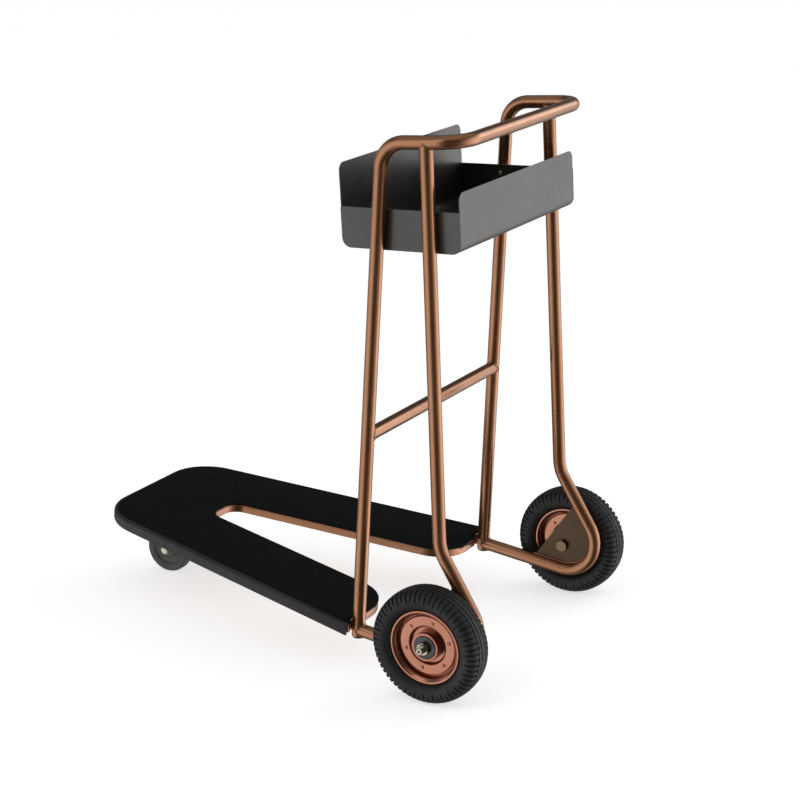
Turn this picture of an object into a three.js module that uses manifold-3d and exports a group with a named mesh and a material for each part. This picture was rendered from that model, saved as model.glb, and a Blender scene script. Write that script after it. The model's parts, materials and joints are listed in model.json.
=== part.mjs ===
// Rigid nesting luggage cart: a tapered deck with a slot for the next cart's swivel caster, a bent-tube
// frame with a push handle, a sheet-metal basket, two large rear wheels and one swivel caster at the nose.
// Millimetres. +X is forward (the deck's nose), +Y is left, +Z is up, and the floor is z = 0.
// Every part is placed from the middle of the rear axle line on the floor; the last group then moves the
// origin to the middle of the cart's footprint.
import * as THREE from 'three';
import { mergeVertices } from 'three/addons/utils/BufferGeometryUtils.js';
import Module from 'manifold-3d';

const wasm = await Module();
wasm.setup();

// ---- driving dimensions ----------------------------------------------------------------------------
const DEG = Math.PI / 180;
const GAP = 0.3;                      // between two fixed parts that meet
const RUNNING = 0.05;                 // radial clearance of a running fit

const TUBE_R = 12.5;
const TUBE_WALL = 2;
const TUBE_SIDES = 12;

const WHEEL_R = 110;
const TYRE_HALF_WIDTH = 32;
const HALF_TRACK = 296.5;              // wheel centre plane to the cart's mid-plane

const POST_FOOT = { x: 179.3, z: 84.5 };      // where the front post meets the bottom bar
const POST_LEAN = 0.0695;                     // backward run of the front post per mm of height
const FRAME_HALF_WIDTH = 250.8;               // tube centres from the mid-plane at the post's foot
const FRAME_TAPER = 0.0135;                   // the frame narrows by this much per mm of height
const HANDLE = { cornerZ: 1005.5, barX: -41, barZ: 1016, topBend: 50, barBend: 50 };
const REAR_POST = { topX: 27.9, bendX: 4.8, bendZ: 273.7, bendR: 80 };
const LOOP = { cornerX: -134.5, cornerZ: 44, bendR: 66 };
const CROSSBAR_Z = 468;

const DECK_TILT = 7 * DEG;
const DECK_Z0 = 83.7;                 // height of the mat's top above the rear axle line
const NOSE_X = 848;                   // lengths on the deck are measured along its slope
const NOSE_HALF_WIDTH = 168;
const NOSE_CORNER_R = 97;
const DECK_REAR_X = 185;
const DECK_SIDE_TAPER = 0.1775;
const POST_NOTCH = { x: 194.5, innerY: 229, outerY: 267 };
const SLOT = { rearHalfWidth: 123, apexX: 893, endX: 663, endR: 32, mouthR: 78 };
const MAT_T = 5;
const SHEET_T = 2;
const TRAY_DEPTH = 16;
const BUMPER = { reach: 1, topBelowMat: 0.8, height: 25.2, thickness: 8, endX: 187 };
const RAIL = { width: 30, height: 13.2, wall: 2 };
const BEAM = { x: 767, width: 46, halfLength: 142 };

const BASKET = {
  x: 87.5, z: 812.8, tilt: 2.2 * DEG, depth: 240, frontHeight: 151, rearHeight: 108, endHeight: 74,
  bendR: 18, sheet: 1.6, cornerR: 15, halfWidth: 227,
};
const BASKET_SCREW_Z = 868;

const CASTER = {
  kingpinX: 763, trail: 33, wheelR: 50, wheelHalfWidth: 13, height: 130, plateX: 88, plateY: 76,
  forkInner: 15.5, forkSheet: 3, crownZ: 106,
};

// ---- materials -------------------------------------------------------------------------------------
function finish(color, roughness, metalness) {
  return new THREE.MeshStandardMaterial({ color, roughness, metalness });
}
const bronze = () => finish(0xb07854, 0.38, 0.85);
const darkBronze = () => finish(0x4b3c2d, 0.55, 0.6);
const rimCopper = () => finish(0xaa7360, 0.35, 0.8);
const anthracite = () => finish(0x474749, 0.45, 0.5);
const zinc = () => finish(0xb8b6ae, 0.35, 0.9);
const rubber = () => finish(0x2d2d2d, 0.8, 0);
const bumperRubber = () => finish(0x414141, 0.6, 0);
const matBlack = () => finish(0x1c1d1e, 0.95, 0);
const casterGrey = () => finish(0x5a5a5a, 0.55, 0);
const darkSteel = () => finish(0x3a3a38, 0.4, 0.8);

// ---- closed solids ---------------------------------------------------------------------------------
function signedVolume(position, triangles) {
  const a = new THREE.Vector3();
  const b = new THREE.Vector3();
  const c = new THREE.Vector3();
  let volume = 0;
  for (let i = 0; i < triangles.length; i += 3) {
    a.fromBufferAttribute(position, triangles[i]);
    b.fromBufferAttribute(position, triangles[i + 1]);
    c.fromBufferAttribute(position, triangles[i + 2]);
    volume += a.dot(b.cross(c)) / 6;
  }
  return volume;
}

// A solid from a closed geometry: shared corners merged, slivers dropped, faces turned outwards.
function solid(geometry, matrix = null) {
  const bare = geometry.clone();
  bare.deleteAttribute('normal');
  bare.deleteAttribute('uv');
  if (matrix) {
    bare.applyMatrix4(matrix);
  }
  const merged = mergeVertices(bare, 1e-4);
  const index = merged.index.array;
  const triangles = [];
  for (let i = 0; i < index.length; i += 3) {
    const [a, b, c] = [index[i], index[i + 1], index[i + 2]];
    if (a !== b && b !== c && c !== a) {
      triangles.push(a, b, c);
    }
  }
  if (signedVolume(merged.attributes.position, triangles) < 0) {
    triangles.reverse();
  }
  return new wasm.Manifold(new wasm.Mesh({
    numProp: 3,
    vertProperties: new Float32Array(merged.attributes.position.array),
    triVerts: new Uint32Array(triangles),
  }));
}

const join = (first, ...rest) => rest.reduce((whole, piece) => whole.add(piece), first);
const cut = (first, ...tools) => tools.reduce((whole, tool) => whole.subtract(tool), first);

function part(name, body, material) {
  const shape = body.getMesh();
  const geometry = new THREE.BufferGeometry();
  geometry.setAttribute('position', new THREE.BufferAttribute(new Float32Array(shape.vertProperties), 3));
  geometry.setIndex(new THREE.BufferAttribute(new Uint32Array(shape.triVerts), 1));
  geometry.computeVertexNormals();
  const mesh = new THREE.Mesh(geometry, material);
  mesh.name = name;
  return mesh;
}

const moved = (x, y, z) => new THREE.Matrix4().makeTranslation(x, y, z);
const box = (x0, x1, y0, y1, z0, z1) => solid(
  new THREE.BoxGeometry(x1 - x0, y1 - y0, z1 - z0),
  moved((x0 + x1) / 2, (y0 + y1) / 2, (z0 + z1) / 2),
);

// A round or hexagonal bar along +Y from y0 to y1, its axis through (x, z).
function barY(radius, y0, y1, sides, x = 0, z = 0) {
  return solid(new THREE.CylinderGeometry(radius, radius, y1 - y0, sides), moved(x, (y0 + y1) / 2, z));
}

// The same along +Z from z0 to z1.
function barZ(radius, z0, z1, sides, x = 0, y = 0) {
  const turn = new THREE.Matrix4().makeRotationX(Math.PI / 2);
  return solid(
    new THREE.CylinderGeometry(radius, radius, z1 - z0, sides),
    moved(x, y, (z0 + z1) / 2).multiply(turn),
  );
}

// A ring about Y. The profile is a list of [radius, y] corners that closes on itself.
function ringY(profile, segments) {
  const points = [...profile, profile[0]].map(([radius, y]) => new THREE.Vector2(radius, y));
  return solid(new THREE.LatheGeometry(points, segments));
}

const hexRadius = (acrossFlats) => acrossFlats / Math.sqrt(3);

// Corners [x, y, radius] joined by straight lines, each corner rounded with an arc of its own radius.
function roundedOutline(corners, stepsPerArc = 6) {
  const points = [];
  corners.forEach(([x, y, radius], i) => {
    const corner = new THREE.Vector2(x, y);
    const before = corners[(i + corners.length - 1) % corners.length];
    const after = corners[(i + 1) % corners.length];
    const back = new THREE.Vector2(before[0], before[1]).sub(corner).normalize();
    const ahead = new THREE.Vector2(after[0], after[1]).sub(corner).normalize();
    if (!radius) {
      points.push(corner);
      return;
    }
    const half = Math.acos(THREE.MathUtils.clamp(back.dot(ahead), -1, 1)) / 2;
    const centre = back.clone().add(ahead).normalize().multiplyScalar(radius / Math.sin(half)).add(corner);
    const start = back.clone().multiplyScalar(radius / Math.tan(half)).add(corner).sub(centre);
    const turn = start.cross(ahead.clone().multiplyScalar(radius / Math.tan(half)).add(corner).sub(centre));
    const sweep = (Math.PI - 2 * half) * Math.sign(turn);
    for (let k = 0; k <= stepsPerArc; k += 1) {
      points.push(start.clone().rotateAround(new THREE.Vector2(), (sweep * k) / stepsPerArc).add(centre));
    }
  });
  return points;
}

// A flat outline in (x, y), thick from z0 to z1.
function plateZ(points, z0, z1) {
  const shape = new THREE.Shape(points);
  return solid(new THREE.ExtrudeGeometry(shape, { depth: z1 - z0, bevelEnabled: false }), moved(0, 0, z0));
}

// A flat outline drawn in (x, z), thick from y0 to y1.
function plateY(points, y0, y1) {
  const shape = new THREE.Shape(points);
  const stand = new THREE.Matrix4().makeRotationX(Math.PI / 2);
  return solid(
    new THREE.ExtrudeGeometry(shape, { depth: y1 - y0, bevelEnabled: false }),
    moved(0, y1, 0).multiply(stand),
  );
}

// ---- bent tubes ------------------------------------------------------------------------------------
// A curve given by stations (a point and a direction each), so straight runs need only their two ends.
class StationCurve extends THREE.Curve {
  constructor(stations) {
    super();
    this.stations = stations;
  }

  station(u) {
    return this.stations[Math.round(u * (this.stations.length - 1))];
  }

  getPointAt(u, target = new THREE.Vector3()) {
    return target.copy(this.station(u).point);
  }

  getTangentAt(u, target = new THREE.Vector3()) {
    return target.copy(this.station(u).direction);
  }
}

// Corners { point, bend } become straight runs with an arc of radius bend at each inner corner.
function bentPath(corners, stepsPerArc) {
  const stations = [];
  corners.forEach(({ point, bend }, i) => {
    const before = corners[i - 1]?.point;
    const after = corners[i + 1]?.point;
    const arriving = before ? point.clone().sub(before).normalize() : null;
    const leaving = after ? after.clone().sub(point).normalize() : null;
    if (!arriving || !leaving) {
      stations.push({ point: point.clone(), direction: (leaving ?? arriving).clone() });
      return;
    }
    const angle = arriving.angleTo(leaving);
    const start = point.clone().addScaledVector(arriving, -bend * Math.tan(angle / 2));
    const axis = arriving.clone().cross(leaving).normalize();
    const centre = start.clone().addScaledVector(axis.clone().cross(arriving), bend);
    for (let k = 0; k <= stepsPerArc; k += 1) {
      const turn = (angle * k) / stepsPerArc;
      stations.push({
        point: start.clone().sub(centre).applyAxisAngle(axis, turn).add(centre),
        direction: arriving.clone().applyAxisAngle(axis, turn),
      });
    }
  });
  return new StationCurve(stations);
}

function circlePoints(radius, sides) {
  return Array.from({ length: sides }, (_, i) => new THREE.Vector2(
    radius * Math.cos((2 * Math.PI * i) / sides),
    radius * Math.sin((2 * Math.PI * i) / sides),
  ));
}

function sweep(shape, path) {
  return solid(new THREE.ExtrudeGeometry(shape, {
    steps: path.stations.length - 1, extrudePath: path, bevelEnabled: false,
  }));
}

function tube(path) {
  const shape = new THREE.Shape(circlePoints(TUBE_R, TUBE_SIDES));
  shape.holes.push(new THREE.Path(circlePoints(TUBE_R - TUBE_WALL, TUBE_SIDES).reverse()));
  return sweep(shape, path);
}

// The space that a tube needs, for cutting whatever is welded to it.
const tubeSpace = (path) => sweep(new THREE.Shape(circlePoints(TUBE_R + GAP, TUBE_SIDES + 6)), path);

// ---- frame -----------------------------------------------------------------------------------------
const frameY = (z) => FRAME_HALF_WIDTH - FRAME_TAPER * (z - POST_FOOT.z);
const framePoint = (x, z, side) => new THREE.Vector3(x, side * frameY(z), z);
const frontPostX = (z) => POST_FOOT.x - POST_LEAN * (z - POST_FOOT.z);
const rearPostX = (z) => REAR_POST.bendX
  + ((z - REAR_POST.bendZ) * (REAR_POST.topX - REAR_POST.bendX)) / (HANDLE.barZ - REAR_POST.bendZ);
const POST_END_Z = POST_FOOT.z - TUBE_R;

function hoopPath(footZ = POST_END_Z) {
  const halfHoop = (side) => [
    { point: framePoint(frontPostX(footZ), footZ, side) },
    { point: framePoint(frontPostX(HANDLE.cornerZ), HANDLE.cornerZ, side), bend: HANDLE.topBend },
    { point: framePoint(HANDLE.barX, HANDLE.barZ, side), bend: HANDLE.barBend },
  ];
  return bentPath([...halfHoop(1), ...halfHoop(-1).reverse()], 5);
}

function sideFramePath(side) {
  return bentPath([
    { point: framePoint(rearPostX(HANDLE.barZ - 5), HANDLE.barZ - 5, side) },
    { point: framePoint(REAR_POST.bendX, REAR_POST.bendZ, side), bend: REAR_POST.bendR },
    { point: framePoint(LOOP.cornerX, LOOP.cornerZ, side), bend: LOOP.bendR },
    { point: framePoint(POST_FOOT.x, POST_FOOT.z, side) },
  ], 6);
}

function addFrame(cart) {
  const hoop = tube(hoopPath());
  const hoopSpace = tubeSpace(hoopPath(POST_END_Z - 20));
  const screwHoles = basketScrewPlaces().map(({ x, z }) => barY(2.8, -300, 300, 8, x, z));
  const innerHalf = box(-400, 400, -frameY(BASKET_SCREW_Z), frameY(BASKET_SCREW_Z), 800, 940);
  const screwSpace = screwHoles.map((hole) => hole.intersect(innerHalf));
  cart.add(part('main_hoop', cut(hoop, ...screwSpace), bronze()));
  for (const [side, word] of [[1, 'left'], [-1, 'right']]) {
    const path = sideFramePath(side);
    const body = cut(tube(path), hoopSpace, ...screwSpace);
    cart.add(part(`side_frame_${word}`, body, bronze()));
    cart.add(part(`axle_plate_${word}`, axlePlate(side, tubeSpace(path)), darkBronze()));
    const plug = barZ(TUBE_R - TUBE_WALL - GAP, 0, 14, TUBE_SIDES);
    const foot = part(`post_plug_${word}`, join(plug, barZ(TUBE_R - 1.5, -2.5, -GAP, TUBE_SIDES),
      barZ(TUBE_R - 4, -1, 1, TUBE_SIDES)), rubber());
    foot.position.copy(framePoint(frontPostX(POST_END_Z), POST_END_Z, side));
    foot.rotation.set(0, -Math.atan(POST_LEAN), 0);
    cart.add(foot);
  }
  const halfSpan = frameY(CROSSBAR_Z);
  const crossbarPath = bentPath([
    { point: new THREE.Vector3(frontPostX(CROSSBAR_Z), -halfSpan, CROSSBAR_Z) },
    { point: new THREE.Vector3(frontPostX(CROSSBAR_Z), halfSpan, CROSSBAR_Z) },
  ], 1);
  cart.add(part('crossbar', cut(tube(crossbarPath), hoopSpace), bronze()));
}

// A gusset that fills the loop of the side frame and carries the axle bolt.
const AXLE_PLATE = { inner: 254, thickness: 5, edgeTop: [-31.1, 210.2], edgeFoot: [67.3, 70.3] };
const AXLE_R = 7;

function axlePlate(side, tubeCut) {
  const outline = roundedOutline([
    [...AXLE_PLATE.edgeTop, 0],
    [LOOP.cornerX, LOOP.cornerZ, LOOP.bendR],
    [...AXLE_PLATE.edgeFoot, 0],
  ], 7);
  const faces = [side * AXLE_PLATE.inner, side * (AXLE_PLATE.inner + AXLE_PLATE.thickness)];
  const blank = plateY(outline, Math.min(...faces), Math.max(...faces));
  const hole = barY(AXLE_R + GAP, -400, 400, 16, 0, WHEEL_R);
  return cut(blank, tubeCut, hole).decompose().reduce((a, b) => (a.volume() > b.volume() ? a : b));
}

// ---- deck ------------------------------------------------------------------------------------------
const deckFrame = new THREE.Matrix4().makeTranslation(0, 0, DECK_Z0)
  .multiply(new THREE.Matrix4().makeRotationY(-DECK_TILT));
const sideSlant = Math.hypot(1, DECK_SIDE_TAPER);
const deckHalfWidth = (x) => NOSE_HALF_WIDTH + DECK_SIDE_TAPER * (NOSE_X - x);

// The deck's outline with its slot, its outer and its inner edges each moved inwards.
function deckOutline(outerInset, innerInset) {
  const noseX = NOSE_X - outerInset;
  const sideY = (x) => deckHalfWidth(x) - outerInset * sideSlant;
  const slotTaper = SLOT.rearHalfWidth / (SLOT.apexX - DECK_REAR_X);
  const slotShift = innerInset * Math.hypot(1, slotTaper);
  const slotY = (x) => slotTaper * (SLOT.apexX - x) + slotShift;
  const slotEndX = SLOT.endX + innerInset;
  const rearX = DECK_REAR_X + innerInset;
  const notchX = POST_NOTCH.x + innerInset;
  const notchInnerY = POST_NOTCH.innerY - innerInset;
  const notchOuterY = POST_NOTCH.outerY + innerInset;
  const half = [
    [noseX, sideY(noseX), NOSE_CORNER_R - outerInset],
    [rearX, sideY(rearX), 3],
    [rearX, notchOuterY, 2],
    [notchX, notchOuterY, 3],
    [notchX, notchInnerY, 4],
    [rearX, notchInnerY, 4],
    [rearX, slotY(rearX), SLOT.mouthR - innerInset],
    [slotEndX, slotY(slotEndX), SLOT.endR + innerInset],
  ];
  const mirrored = half.map(([x, y, r]) => [x, -y, r]).reverse();
  return roundedOutline([...half, ...mirrored], 5);
}

function addDeck(cart) {
  const deck = new THREE.Group();
  deck.position.z = DECK_Z0;
  deck.rotation.y = -DECK_TILT;
  cart.add(deck);
  const rim = BUMPER.thickness - BUMPER.reach + GAP;
  deck.add(part('deck_mat', plateZ(deckOutline(rim, 0), -MAT_T, 0), matBlack()));

  const trayTop = -MAT_T - GAP;
  const pan = plateZ(deckOutline(rim, 0.6), trayTop - TRAY_DEPTH, trayTop);
  const inside = plateZ(deckOutline(rim + SHEET_T, 0.6 + SHEET_T), trayTop - TRAY_DEPTH - 1,
    trayTop - SHEET_T);
  const railTop = trayTop - SHEET_T - GAP;
  const railBottom = railTop - RAIL.height;
  const railSpaces = [1, -1].map((side) => railBlock(side, RAIL.width + 2, railBottom - 20, railTop)
    .intersect(box(0, POST_NOTCH.x + 30, -400, 400, -90, 0)));
  deck.add(part('deck_tray', cut(pan, inside, ...railSpaces), bronze()));
  deck.add(part('bumper', bumper(), bumperRubber()));
  deck.add(part('nose_beam', channel(BEAM.x - BEAM.width / 2, BEAM.x + BEAM.width / 2,
    -BEAM.halfLength, BEAM.halfLength, railBottom, railTop), bronze()));
  const posts = tubeSpace(hoopPath(POST_END_Z - 20));
  for (const [side, word] of [[1, 'left'], [-1, 'right']]) {
    const body = rail(side, railBottom, railTop).transform(deckFrame.toArray());
    cart.add(part(`deck_rail_${word}`, cut(body, posts), bronze()));
  }
  cart.add(part('caster_bracket', casterBracket(railBottom), bronze()));
}

// A rectangular tube along Y, open at its ends.
function channel(x0, x1, y0, y1, z0, z1) {
  const bore = box(x0 + RAIL.wall, x1 - RAIL.wall, y0 - 1, y1 + 1, z0 + RAIL.wall, z1 - RAIL.wall);
  return cut(box(x0, x1, y0, y1, z0, z1), bore);
}

// The line of the rectangular tube under one leg of the deck, from the front post to the nose beam.
const RAIL_END_X = BEAM.x - BEAM.width / 2 - GAP;

function railBlock(side, width, z0, z1, extra = 0) {
  const noseY = deckHalfWidth(RAIL_END_X) - 33;
  const postY = frameY(POST_FOOT.z) - 1;
  const run = Math.hypot(RAIL_END_X - POST_FOOT.x, postY - noseY) + 2 * extra;
  const turn = side * Math.atan2(noseY - postY, RAIL_END_X - POST_FOOT.x);
  const place = moved(POST_FOOT.x, side * postY, 0)
    .multiply(new THREE.Matrix4().makeRotationZ(turn))
    .multiply(moved(run / 2 - extra, 0, (z0 + z1) / 2));
  return solid(new THREE.BoxGeometry(run, width, z1 - z0), place);
}

function rail(side, z0, z1) {
  const bore = railBlock(side, RAIL.width - 2 * RAIL.wall, z0 + RAIL.wall, z1 - RAIL.wall, 40);
  const stop = box(RAIL_END_X, RAIL_END_X + 90, -300, 300, z0 - 1, z1 + 1);
  return cut(railBlock(side, RAIL.width, z0, z1), bore, stop);
}

// A rubber strip round the tray under the mat's outer edge, rounded on its outside.
function bumper() {
  const inner = BUMPER.reach - BUMPER.thickness;
  const edge = (x) => deckHalfWidth(x) + inner * sideSlant;
  const noseX = NOSE_X + inner;
  const top = -BUMPER.topBelowMat;
  const at = (x, y, bend) => ({ point: new THREE.Vector3(x, y, top), bend });
  const path = bentPath([
    at(BUMPER.endX, edge(BUMPER.endX)),
    at(noseX, edge(noseX), NOSE_CORNER_R + inner),
    at(noseX, -edge(noseX), NOSE_CORNER_R + inner),
    at(BUMPER.endX, -edge(BUMPER.endX)),
  ], 5);
  const { height, thickness } = BUMPER;
  const section = roundedOutline([
    [0, 0, 0], [0, thickness, 6], [height, thickness, 6], [height, 0, 0],
  ], 3);
  return sweep(new THREE.Shape(section), path);
}

// A welded bracket that levels the caster under the sloping beam.
const BRACKET = { sheet: 4, halfX: 44, halfY: 38 };

function casterBracket(beamBottom) {
  const { sheet, halfX, halfY } = BRACKET;
  const x = CASTER.kingpinX;
  const floor = CASTER.height + GAP;
  const roof = solid(new THREE.BoxGeometry(400, 200, 100), deckFrame.clone().multiply(
    moved(CASTER.kingpinX, 0, beamBottom - GAP + 50),
  ));
  const cheeks = [1, -1].map((side) => {
    const faces = [side * halfY, side * (halfY - sheet)];
    return box(x - 20, x + 20, Math.min(...faces), Math.max(...faces), floor + sheet / 2, floor + 60);
  });
  const base = box(x - halfX, x + halfX, -halfY, halfY, floor, floor + sheet);
  const holes = casterBoltPlaces().map(([bx, by]) => barZ(4.4, 0, 300, 8, bx, by));
  return cut(join(base, ...cheeks), roof, ...holes, barZ(9, 0, 300, 12, x, 0));
}

// ---- basket ----------------------------------------------------------------------------------------
function basketScrewPlaces() {
  return [frontPostX(BASKET_SCREW_Z), rearPostX(BASKET_SCREW_Z)].map((x) => ({ x, z: BASKET_SCREW_Z }));
}

function addBasket(cart) {
  const frame = moved(BASKET.x, 0, BASKET.z).multiply(new THREE.Matrix4().makeRotationY(BASKET.tilt));
  const { sheet, halfWidth, bendR } = BASKET;
  const half = BASKET.depth / 2;
  const endInner = halfWidth - sheet;
  const shellHalf = endInner - GAP;
  const outside = roundedOutline([
    [-half, BASKET.rearHeight, 0], [-half, 0, bendR], [half, 0, bendR], [half, BASKET.frontHeight, 0],
  ], 5);
  const inside = roundedOutline([
    [-half + sheet, 400, 0], [-half + sheet, sheet, bendR - sheet],
    [half - sheet, sheet, bendR - sheet], [half - sheet, 400, 0],
  ], 5);
  const blank = cut(plateY(outside, -shellHalf, shellHalf), plateY(inside, -400, 400));
  const shape = cut(blank, wallTrim(BASKET.rearHeight, shellHalf, -half - 5, -half + 10),
    wallTrim(BASKET.frontHeight, shellHalf, half - 10, half + 5));
  const world = (body) => body.transform(frame.toArray());
  cart.add(part('basket_shell', world(shape), anthracite()));

  const endOutline = roundedOutline([
    [-half, BASKET.endHeight, 2], [-half, 0, bendR], [half, 0, bendR], [half, BASKET.endHeight, 2],
  ], 5);
  for (const [side, word] of [[1, 'left'], [-1, 'right']]) {
    const faces = [side * endInner, side * halfWidth];
    const plate = plateY(endOutline, Math.min(...faces), Math.max(...faces));
    const holes = basketScrewPlaces().map(({ x, z }) => barY(2.8, -400, 400, 8, x, z));
    cart.add(part(`basket_end_${word}`, cut(world(plate), ...holes), anthracite()));
    basketScrewPlaces().forEach(({ x, z }, i) => {
      const name = `basket_screw_${['front', 'rear'][i]}_${word}`;
      const screw = part(name, screwBody(side, endInner), zinc());
      screw.position.set(x, 0, z);
      cart.add(screw);
    });
  }
}

// Cuts a wall's two top corners round.
function wallTrim(height, halfLength, x0, x1) {
  const r = BASKET.cornerR;
  const corners = [1, -1].map((side) => {
    const y = side * halfLength;
    const block = box(x0, x1, Math.min(y, y - side * r) - 0.5, Math.max(y, y - side * r) + 0.5,
      height - r, height + 1);
    const round = new THREE.Matrix4().makeRotationZ(Math.PI / 2);
    const keep = solid(new THREE.CylinderGeometry(r, r, x1 - x0 + 2, 24),
      moved((x0 + x1) / 2, y - side * r, height - r).multiply(round));
    const inner = box(x0 - 1, x1 + 1, Math.min(y - side * r, y - side * 2 * r),
      Math.max(y - side * r, y - side * 2 * r), height - r - 1, height + 2);
    return cut(block, keep, inner);
  });
  return join(...corners);
}

// A button-head screw from inside the basket into the post.
function screwBody(side, endInner) {
  const y = (d) => side * (endInner + d);
  const bar = (radius, a, b, sides) => barY(radius, Math.min(y(a), y(b)), Math.max(y(a), y(b)), sides);
  return join(bar(4.75, -2.2, -GAP, 12), bar(3.2, -3, -2, 12), bar(2.5, -1, 10, 8));
}

// ---- rear wheels -----------------------------------------------------------------------------------
const RIM = { flangeR: 70.5, flangeY: 22, sheet: 2.4, ringR: 55.5, ringY: 10.4, wellR: 36.5 };
const HUB = { r: 27.5, halfLength: 20.5, boreR: 17.5 };
const BEARING = { outerR: 17.5, width: 11 };
const WASHER = { r: 22, thickness: 1.5 };
const NUT = { acrossFlats: 22, height: 8 };
const AXLE_END = 42;                  // beyond the wheel's centre plane
const ROUND = 18;
const BEARING_BORE = AXLE_R / Math.cos(Math.PI / ROUND) + RUNNING;

function tyreBody() {
  const w = TYRE_HALF_WIDTH;
  const half = [
    [WHEEL_R, 10], [WHEEL_R - 2.5, w - 11], [WHEEL_R - 9, w - 3.5], [WHEEL_R - 20, w],
    [RIM.flangeR + 5, w - 5], [RIM.flangeR + 1, 18.4], [63.4, 18.4],
  ];
  const mirrored = half.map(([r, y]) => [r, -y]).reverse();
  return ringY([...half, ...mirrored], 32);
}

// Half of the pressed rim, from the flange down to the hub. The other half is its mirror image.
function rimHalf(side) {
  const { flangeR, flangeY, sheet, ringR, ringY: plateau, wellR } = RIM;
  const outer = [
    [flangeR, flangeY], [60.5, 17], [58.5, 3.2], [ringR, plateau],
    [wellR, plateau], [wellR - 2.5, 3], [HUB.r + GAP, 3],
  ];
  const inner = [
    [HUB.r + GAP, 0.4], [wellR, 0.4], [wellR + 2.5, plateau - sheet], [ringR - 2.5, plateau - sheet],
    [55.4, 0.4], [61.5, 0.4], [62.6, 18.8], [flangeR, 19.4],
  ];
  return ringY([...outer, ...inner].map(([r, y]) => [r, side * y]), 24);
}

function addWheel(cart, side, word) {
  const wheel = new THREE.Group();
  wheel.position.set(0, side * HALF_TRACK, WHEEL_R);
  cart.add(wheel);
  const between = (a, b) => [Math.min(side * a, side * b), Math.max(side * a, side * b)];
  const ring = (inner, outer, a, b) => {
    const [low, high] = between(a, b);
    return ringY([[inner, low], [outer, low], [outer, high], [inner, high]], ROUND);
  };
  const add = (name, body, material) => wheel.add(part(`${name}_${word}`, body, material));

  add('tyre', tyreBody(), rubber());
  add('rim_outer', rimHalf(side), rimCopper());
  add('rim_inner', rimHalf(-side), rimCopper());
  add('hub', ring(HUB.boreR + GAP, HUB.r, -HUB.halfLength, HUB.halfLength), rimCopper());
  const face = HUB.halfLength - 1;
  add('bearing_outer', ring(BEARING_BORE, BEARING.outerR, face, face - BEARING.width), darkSteel());
  add('bearing_inner', ring(BEARING_BORE, BEARING.outerR, -face, -face + BEARING.width), darkSteel());

  const plateOuter = AXLE_PLATE.inner + AXLE_PLATE.thickness - HALF_TRACK;
  const plateInner = AXLE_PLATE.inner - HALF_TRACK;
  const clamp = AXLE_R + GAP;
  add('spacer', ring(clamp, 11, plateOuter + GAP, -face - GAP), zinc());
  const washerY = HUB.halfLength + GAP;
  add('axle_washer', ring(clamp, WASHER.r, washerY, washerY + WASHER.thickness), darkSteel());
  const nutY = washerY + WASHER.thickness + GAP;
  const [nutLow, nutHigh] = between(nutY, nutY + NUT.height);
  const nut = cut(barY(hexRadius(NUT.acrossFlats), nutLow, nutHigh, 6), barY(clamp, -99, 99, ROUND));
  add('axle_nut', nut, zinc());

  const head = between(plateInner - GAP - 7, plateInner - GAP);
  const shank = between(plateInner - GAP - 1, AXLE_END);
  add('axle_bolt', join(barY(hexRadius(22), ...head, 6), barY(AXLE_R, ...shank, ROUND)), zinc());
}

// ---- caster ----------------------------------------------------------------------------------------
function casterBoltPlaces() {
  const places = [];
  for (const dx of [-31, 31]) {
    for (const dy of [-27, 27]) {
      places.push([CASTER.kingpinX + dx, dy]);
    }
  }
  return places;
}

function forkBody() {
  const { kingpinX: x, trail, wheelR, forkInner, forkSheet, crownZ } = CASTER;
  const outline = roundedOutline([
    [x - 24, crownZ + forkSheet, 4], [x - 22, crownZ - 12, 20], [x + trail - 16, wheelR - 13, 13],
    [x + trail + 14, wheelR - 13, 13], [x + 27, crownZ + forkSheet, 4],
  ], 4);
  const legs = [1, -1].map((side) => {
    const faces = [side * forkInner, side * (forkInner + forkSheet)];
    return plateY(outline, Math.min(...faces), Math.max(...faces));
  });
  const crown = box(x - 21, x + 24, -forkInner - 1, forkInner + 1, crownZ, crownZ + forkSheet);
  const boss = barZ(22, crownZ, crownZ + forkSheet, 16, x, 0);
  const axleHole = barY(4 + GAP, -60, 60, 10, x + trail, wheelR);
  return cut(join(crown, boss, ...legs), axleHole, barZ(6.6, 0, 200, 16, x, 0));
}

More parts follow.
